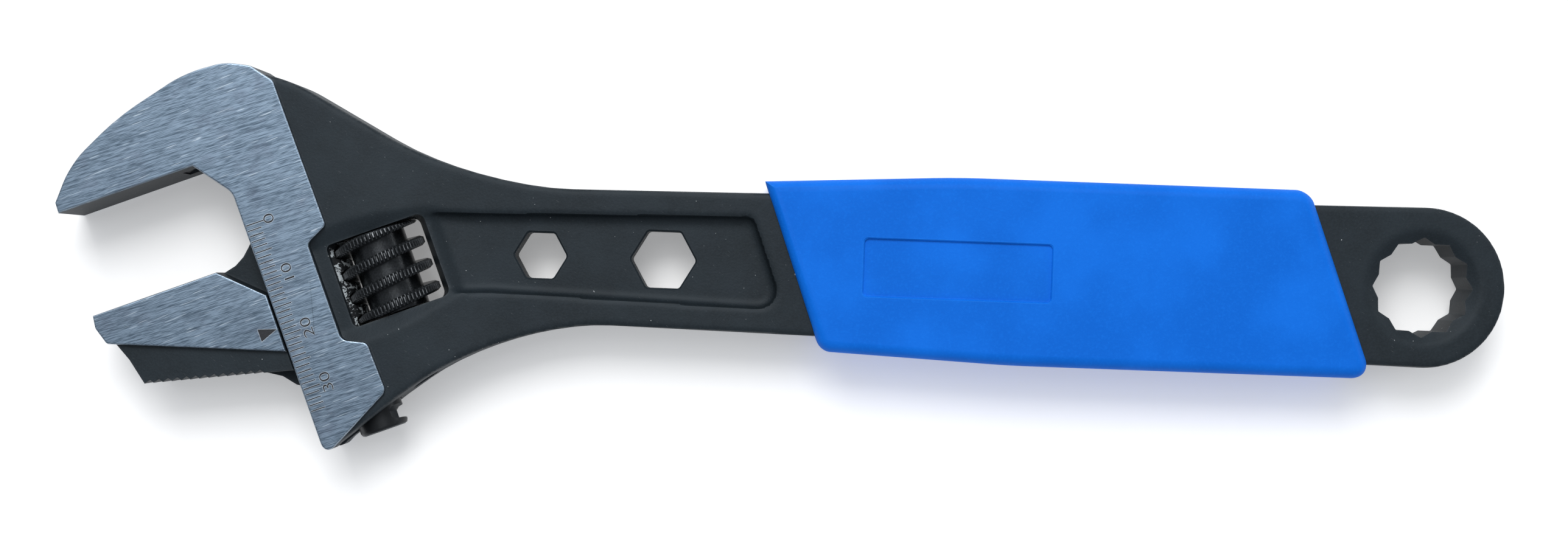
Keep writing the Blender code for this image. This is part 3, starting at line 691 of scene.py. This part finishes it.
OPENING = (Vector(mounts["sliding_jaw_face"]["pos_m"]) - throat).dot(opening_way) / MM
JAW = HEAD @ Matrix.Translation((0, OPENING * MM, 0))
KNURL = HEAD @ Matrix.Translation((-KNURL_X * MM, WINDOW_Y * MM, 0)) @ Matrix.Rotation(math.pi / 2, 4, "X")
PITCH, KNURL_RADIUS, RIM_ROOT, RIM_CREST, RIM_AT_RACK = 4.19, 7.85, 2.0, 1.0, 1.27
CORE_RADIUS = KNURL_X - RACK_X - RACK_RADIUS - CLEARANCE
RACK_LENGTH = 41.0

block = plate(
    "jaw",
    [
        (29.9, 0, 0),
        (7.2, 0, 0),
        (CLEARANCE, 6.6, 0),
        (CLEARANCE, 17.0, 0),
        (29.2, 5.4, 0.8),
        (30.2, 2.2, 1.5),
    ],
    -HEAD_HALF,
    HEAD_HALF,
)
rounded(block, is_rim, GROUND_EDGE, 2)
moved(block, JAW)

GRIP_PITCH, GRIP_DEPTH = 1.6, 0.55
tip, heel = Vector((25.6, 14.0)), Vector((5.4, 19.1))
along = (heel - tip).normalized()
out = Vector((-along.y, along.x)) * (-1 if along.x > 0 else 1)
out = out if out.y > 0 else -out
edge = []
for tooth in range(int((heel - tip).length / GRIP_PITCH)):
    edge += [tip + along * GRIP_PITCH * tooth, tip + along * GRIP_PITCH * (tooth + 0.62) - out * GRIP_DEPTH]
flank = plate(
    "jaw_flank",
    [(28.3, 5.0, 0), (26.7, 9.2, 0)]
    + [(point.x, point.y, 0) for point in edge]
    + [(heel.x, heel.y, 0), (CLEARANCE, 20.4, 0), (CLEARANCE, 8.0, 0), (12, 3.0, 0)],
    -6.9,
    6.9,
)
rounded(flank, is_rim, 0.25, 2)
web = plate(
    "jaw_web",
    [(x, y, 0) for x, y in WEB_EDGE]
    + [
        (9.2, 6, 0),
        (9.2, 17, 0),
        (5.6, 19.2, 0),
        (3.4, 20.6, 0),
        (1.6, 22.8, 0),
        (-1.2, 24.6, 0),
        (-RACK_X, 26.2, 0),
        (-RACK_X, -5.3, 0),
    ],
    -WEB_THICKNESS / 2,
    WEB_THICKNESS / 2,
)
rack = turned(
    "rack", RACK_RADIUS, (-RACK_X, -RACK_ABOVE, 0), (-RACK_X, RACK_LENGTH - RACK_ABOVE, 0), 96, chamfer=0.7
)
worked(block, "UNION", *[moved(piece, JAW) for piece in (flank, web, rack)])


def thread(name, gap, first, turns, steps):
    """The knurl's rim, or with a gap the path it clears, wound about Z from one whole turn to another."""
    half = (
        (CORE_RADIUS - 0.6, RIM_ROOT / 2 + gap),
        (KNURL_RADIUS - 0.6, RIM_ROOT / 2 - 0.12 + gap),
        (KNURL_RADIUS + gap, RIM_CREST / 2 + 0.7 * gap),
    )
    section = [(r, -h) for r, h in half] + [(r, h) for r, h in reversed(half)]
    item = added(name, bpy.ops.mesh.primitive_circle_add, vertices=len(section), radius=0.03)
    edit()
    starts = [v.co.copy() for v in bmesh.from_edit_mesh(item.data).verts]
    for start, (r, h) in zip(starts, section):
        pick("VERT", lambda v: (v.co - start).length < 1e-8)
        bpy.ops.transform.translate(value=Vector((r * MM, 0, (h + RIM_AT_RACK + first * PITCH) * MM)) - start)
    done()
    modified(
        item, "SCREW", axis="Z", angle=2 * math.pi, screw_offset=PITCH * MM, iterations=turns, steps=steps,
        render_steps=steps, use_merge_vertices=False,
    )
    edit()
    bpy.ops.mesh.select_all(action="SELECT")
    bpy.ops.mesh.fill_holes(sides=len(section))
    bpy.ops.mesh.select_all(action="SELECT")
    bpy.ops.mesh.normals_make_consistent(inside=False)
    done()
    return item


worked(block, "DIFFERENCE", moved(thread("rack_grooves", CLEARANCE, -8, 13, 48), KNURL))

pointer = plate(
    "pointer", [(3.7, 11.72, 0), (0.55, 12.74, 0), (3.7, 13.95, 0)], HEAD_HALF - ETCH_DEPTH, HEAD_HALF + 1
)
worked(block, "DIFFERENCE", moved(pointer, JAW))
shaded(block, 28)
block.name = "wrench_jaw"
face_finishes(block, 1, 2)


rubbed_spot = JAW @ Vector((-RACK_X * MM, (WINDOW_Y - OPENING) * MM, 0))


def rack_finish(name):
    """Rack teeth: black in the grooves, and polished bright where the knurl's rims rub their tips."""
    finish = Finish(name, (0.02, 0.02, 0.022), 0.4, 0.7)
    ends = (finish.place(), rubbed_spot)
    rub = finish.node("ShaderNodeVectorMath", {"operation": "DISTANCE"}, ends, "Value")
    worn = (1 - rub.between(9 * MM, 11 * MM)) * finish.noise(1.5, 4, 0.75).between(0.53, 0.56)
    grime = finish.noise(0.7, 4, 0.6)
    colour = finish.blend(worn, (0.016, 0.018, 0.02), (0.55, 0.6, 0.62))
    finish.set("Base Color", colour)
    finish.set("Roughness", 0.25 + 0.3 * grime)
    finish.bump(grime, 0.03, 0.5)
    return finish.material


block.data.materials.append(rack_finish("rack_steel"))
rack_line = JAW @ Vector((-RACK_X * MM, 0, 0))
for face in block.data.polygons:
    offset = face.center - rack_line
    offset -= opening_way * offset.dot(opening_way)
    if abs(offset.length / MM - RACK_RADIUS) < 0.12:
        face.material_index = 3
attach(block, "jaw")
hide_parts("movable_jaw")

# ---------------------------------------------------------------- Knurl
# The adjusting screw: turned steel with one right-handed rim wound round it, whose crest is notched for
# the thumb. It is drilled for its pin and counterbored at its lower end for the spring, then blackened.

KNURL_LENGTH, SPRING_POCKET, NOTCHES, NOTCH_DEPTH = 14.5, 4.6, 66, 0.45
SPRING_WIRE = 0.6
SPRING_RADIUS = PIN_RADIUS + CLEARANCE + SPRING_WIRE / 2 + CLEARANCE / 2
half_length = KNURL_LENGTH / 2
rim = thread("knurl_rim", 0, -3, 6, 4 * NOTCHES)
edit()
step = math.pi / 2 / NOTCHES
pick(
    "VERT",
    lambda v: v.co.xy.length > (KNURL_RADIUS - 0.1) * MM and round(math.atan2(v.co.y, v.co.x) / step) % 4 < 2,
)
shrink = 1 - NOTCH_DEPTH / KNURL_RADIUS
bpy.ops.transform.resize(value=(shrink, shrink, 1), center_override=(0, 0, 0))
done()
knurl = turned("wrench_knurl", CORE_RADIUS, (0, 0, -half_length), (0, 0, half_length), 96, "Z")
blank = turned(
    "knurl_blank", KNURL_RADIUS + 0.1, (0, 0, -half_length), (0, 0, half_length), 96, "Z", chamfer=0.9
)
bore = turned("knurl_bore", PIN_RADIUS + CLEARANCE, (0, 0, -20), (0, 0, 20), 48, "Z")
pocket = turned(
    "spring_pocket", SPRING_RADIUS + SPRING_WIRE / 2 + CLEARANCE, (0, 0, -2 * half_length),
    (0, 0, SPRING_POCKET - half_length), 64, "Z",
)
worked(knurl, "UNION", rim)
worked(knurl, "INTERSECT", blank)
worked(knurl, "DIFFERENCE", bore, pocket)
moved(knurl, KNURL)
shaded(knurl, 28)


def knurl_finish(name):
    """Blackened turned steel: darker and glossier than the forging."""
    finish = Finish(name, (0.014, 0.016, 0.018), 0.3, 0.6)
    grain = finish.noise(0.3, 3, 0.6)
    rings = finish.noise(0.2, 2, 0.5, (1, 0.05, 1), -GRIND_TURN)
    finish.set("Base Color", finish.blend(grain.between(0.4, 0.7), (0.02, 0.023, 0.026), (0.04, 0.045, 0.05)))
    finish.set("Roughness", 0.22 + 0.16 * rings)
    finish.bump(grain, 0.02, 0.4)
    return finish.material


def crest_finish(name):
    """The tops of the knurl's notched rim, rubbed grey by the thumb."""
    finish = Finish(name, (0.07, 0.075, 0.08), 0.4, 0.7)
    grime = finish.noise(1.1, 4, 0.65)
    finish.set("Base Color", finish.blend(grime.between(0.4, 0.65), (0.15, 0.16, 0.17), (0.03, 0.034, 0.038)))
    finish.set("Roughness", 0.34 + 0.2 * grime)
    finish.bump(finish.noise(0.25, 3), 0.02, 0.4)
    return finish.material


knurl.data.materials.clear()
knurl.data.materials.append(knurl_finish("knurl_steel"))
knurl.data.materials.append(crest_finish("knurl_crest"))
for face in knurl.data.polygons:
    face.material_index = int((KNURL.inverted() @ face.center).xy.length > (KNURL_RADIUS - 0.1) * MM)
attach(knurl, "worm")
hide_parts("knurl")

# ---------------------------------------------------------------- Knurl pin
# A hardened pin with a slotted head, put in from the neck's lower edge and screwed home.
# The knurl turns on its shank.

pin = turned("wrench_pin", PIN_RADIUS, (-KNURL_X, pin_top, 0), (-KNURL_X, PIN_TAIL - 0.5, 0), 48, chamfer=0.3)
pin_head = turned(
    "pin_head", PIN_HEAD_RADIUS, (-KNURL_X, PIN_TAIL - PIN_HEAD_LENGTH, 0), (-KNURL_X, PIN_TAIL, 0), 64,
    chamfer=0.3,
)
driver_slot = plate(
    "driver_slot",
    [
        (-KNURL_X - 4, PIN_TAIL - 1.1, 0),
        (-KNURL_X + 4, PIN_TAIL - 1.1, 0),
        (-KNURL_X + 4, PIN_TAIL + 1, 0),
        (-KNURL_X - 4, PIN_TAIL + 1, 0),
    ],
    -0.4,
    0.4,
)
worked(pin, "UNION", pin_head)
worked(pin, "DIFFERENCE", driver_slot)
moved(pin, HEAD)
shaded(pin, 28)


def pin_finish(name):
    """Blackened turned steel with lathe rings and a little bare metal at its edges."""
    finish = Finish(name, (0.02, 0.02, 0.022), 0.35, 0.8)
    bare = finish.edges(0.3).between(0.02, 0.3) * finish.noise(0.9, 3, 0.6).between(0.3, 0.6)
    rings = finish.noise(0.25, 2, 0.5, (0.05, 1, 1), GRIND_TURN)
    finish.set("Base Color", finish.blend(bare * 0.6, (0.02, 0.02, 0.022), (0.3, 0.31, 0.33)))
    finish.set("Roughness", 0.28 + 0.2 * rings)
    finish.bump(rings, 0.02, 0.4)
    return finish.material


pin.data.materials.clear()
pin.data.materials.append(pin_finish("pin_steel"))
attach(pin, "handle")
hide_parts("knurl_pin")

# ---------------------------------------------------------------- Knurl spring
# A small compression spring of round wire in the knurl's counterbore. It presses the knurl's upper end
# against the window, so that the jaw holds its setting.

SPRING_TURNS = 5
coil_start = SPRING_WIRE / 2 + CLEARANCE - half_length
coil_rise = SPRING_POCKET - SPRING_WIRE - 2 * CLEARANCE
spring = added(
    "wrench_spring", bpy.ops.mesh.primitive_circle_add, vertices=14, radius=SPRING_WIRE / 2 * MM,
    location=(SPRING_RADIUS * MM, 0, coil_start * MM), rotation=(math.pi / 2, 0, 0),
)
bpy.ops.object.transform_apply(location=True, rotation=True, scale=True)
modified(
    spring, "SCREW", axis="Z", angle=2 * math.pi, screw_offset=coil_rise / SPRING_TURNS * MM,
    iterations=SPRING_TURNS, steps=40, render_steps=40, use_merge_vertices=False,
)
edit()
bpy.ops.mesh.select_all(action="SELECT")
bpy.ops.mesh.fill_holes(sides=14)
bpy.ops.mesh.select_all(action="SELECT")
bpy.ops.mesh.normals_make_consistent(inside=False)
done()
moved(spring, KNURL)
shaded(spring, 40)


def wire_finish(name):
    """Bright drawn wire, faintly streaked and oiled."""
    finish = Finish(name, (0.35, 0.36, 0.38), 0.3, 1.0)
    stain = finish.noise(0.8, 3, 0.6)
    finish.set("Base Color", finish.blend(stain.between(0.4, 0.7), (0.42, 0.43, 0.45), (0.22, 0.22, 0.23)))
    finish.set("Roughness", 0.22 + 0.2 * stain)
    finish.bump(finish.noise(0.2, 2), 0.01, 0.3)
    return finish.material


spring.data.materials.clear()
spring.data.materials.append(wire_finish("spring_wire"))
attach(spring, "worm")
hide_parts("knurl_spring")

# ---------------------------------------------------------------- Grip sleeve
# A flat tube moulded in blue plastic, with slanted ends and a blank sunken panel on each face. It is
# pushed over the ring and sits tight on the bar.

SLEEVE_START, SLEEVE_LENGTH, SLEEVE_SLANT = 99.8, 95.3, math.tan(math.radians(20.3))
SLEEVE_NECK, SLEEVE_HALF, SLEEVE_SWELL, SLEEVE_EDGE = 14.3, 16.2, 128.0, 2.4
PANEL_X, PANEL_LENGTH, PANEL_WIDTH, PANEL_DEPTH = 128.4, 32.6, 10.0, 0.6
sleeve_end = SLEEVE_START + SLEEVE_LENGTH
sleeve = plate(
    "wrench_grip",
    [
        (SLEEVE_START - SLEEVE_SLANT * SLEEVE_NECK, SLEEVE_NECK, 0),
        (SLEEVE_SWELL, SLEEVE_HALF, 150),
        (sleeve_end - SLEEVE_SLANT * SLEEVE_HALF, SLEEVE_HALF, 3.5),
        (sleeve_end + SLEEVE_SLANT * SLEEVE_HALF, -SLEEVE_HALF, 2.6),
        (SLEEVE_SWELL + 10, -SLEEVE_HALF, 150),
        (SLEEVE_START + SLEEVE_SLANT * SLEEVE_NECK, -SLEEVE_NECK - 0.6, 2.6),
    ],
    -HEAD_HALF,
    HEAD_HALF,
)
rounded(sleeve, is_rim, SLEEVE_EDGE, 8)
near, far = SLEEVE_START - 12, sleeve_end + 12
cavity = plate(
    "bar_cavity",
    [
        (x, side * (bar_half_width(x) + CLEARANCE), 0)
        for x, side in ((near, 1), (far, 1), (far, -1), (near, -1))
    ],
    -BAR_HALF - CLEARANCE,
    BAR_HALF + CLEARANCE,
)
rounded(cavity, is_rim, FORGED_EDGE, 5)
worked(sleeve, "DIFFERENCE", cavity)
panel = plate(
    "blank_panel",
    [
        (PANEL_X + x * PANEL_LENGTH / 2, y * PANEL_WIDTH / 2, 0.8)
        for x, y in ((1, 1), (1, -1), (-1, -1), (-1, 1))
    ],
    HEAD_HALF - PANEL_DEPTH,
    HEAD_HALF - 0.2,
)
rounded(panel, lambda e: is_rim(e) and middle_of(e).z < HEAD_HALF - PANEL_DEPTH / 2, 0.2, 3)
flare(panel, 1, 0.35)
worked(sleeve, "DIFFERENCE", mirrored(panel, "blank_panel_under"), panel)
moved(sleeve, HANDLE)
shaded(sleeve, 35)


def grip_finish(name):
    """Blue moulded plastic: a fine matte grain, faint flow clouds, a few shallow scuffs, and a painted
    highlight along its edges.
    """
    finish = Finish(name, (0.008, 0.14, 0.75), 0.5, 0.0)
    finish.set("Specular IOR Level", 0.1)
    cloud = finish.noise(14, 3, 0.5)
    grain = finish.noise(0.45, 3, 0.65)
    scuff = finish.noise(2.2, 3, 0.5, (0.12, 1.6, 1), 0.25).between(0.72, 0.76)
    colour = finish.blend(cloud.between(0.35, 0.7), (0.001, 0.125, 0.61), (0.003, 0.152, 0.71))
    colour = finish.blend(grain.between(0.45, 0.75) * 0.25, colour, (0.008, 0.20, 0.84))
    colour = finish.blend(scuff * 0.25, colour, (0.002, 0.06, 0.38))
    # Painted highlight: the sleeve's edges and the panel's rim are lightened towards pale blue, standing in
    # for the light they catch.
    colour = finish.blend(finish.edges(0.35).between(0.01, 0.2) * 0.5, colour, (0.04, 0.32, 0.95))
    finish.set("Base Color", colour)
    finish.set("Roughness", 0.48 + 0.14 * grain - 0.1 * scuff)
    finish.bump(grain, 0.06, 0.45)
    return finish.material


sleeve.data.materials.clear()
sleeve.data.materials.append(grip_finish("blue_grip"))
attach(sleeve, "handle")
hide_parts("grip_sleeve")

# ---------------------------------------------------------------- Studio
# A plain pale floor, soft light from above and the long edges, and a camera that looks straight down.

floor = added("floor", bpy.ops.mesh.primitive_plane_add, size=3, location=(0, 0, 0))
paper = Finish("pale_floor", (0.9, 0.9, 0.9), 0.8, 0.0)
paper.set("Base Color", paper.blend(paper.noise(4, 3), (0.93, 0.93, 0.93), (0.95, 0.95, 0.95)))
paper.set("Emission Color", (1, 1, 1))
paper.set("Emission Strength", 0.25)
floor.data.materials.append(paper.material)

for name, place, size, power in (
    ("key_light", (-0.1, 0.55, 0.8), 0.5, 5.4),
    ("fill_light", (0.35, -0.6, 0.7), 0.7, 0.6),
    ("top_light", (-0.15, 0.42, 1.0), 0.7, 3.0),
    ("side_light", (0.75, 0.28, 0.14), 0.3, 1.2),
):
    lamp = bpy.data.lights.new(name, "AREA")
    lamp.size = size
    lamp.energy = power
    light = bpy.data.objects.new(name, lamp)
    light.location = place
    light.rotation_euler = (-Vector(place)).to_track_quat("-Z", "Y").to_euler()
    bpy.context.scene.collection.objects.link(light)

world = bpy.data.worlds.new("studio")
bpy.context.scene.world = world
world.use_nodes = True
world.node_tree.nodes["Background"].inputs["Color"].default_value = (0.9, 0.94, 1.0, 1)
world.node_tree.nodes["Background"].inputs["Strength"].default_value = 0.4

CAMERA_X, CAMERA_Y, CAMERA_Z, CAMERA_ROLL, CAMERA_LENS = 98.37, -1.95, 426, 2.1, 54.4332
camera_data = bpy.data.cameras.new("camera")
camera_data.sensor_width = 36
camera_data.lens = CAMERA_LENS
camera = bpy.data.objects.new("camera", camera_data)
camera.location = (throat.x + CAMERA_X * MM, hole_middle("ring_hole").y + CAMERA_Y * MM, CAMERA_Z * MM)
camera.rotation_euler = (0, 0, math.radians(CAMERA_ROLL))
bpy.context.scene.collection.objects.link(camera)
bpy.context.scene.camera = camera
bpy.context.scene.view_settings.view_transform = "Standard"
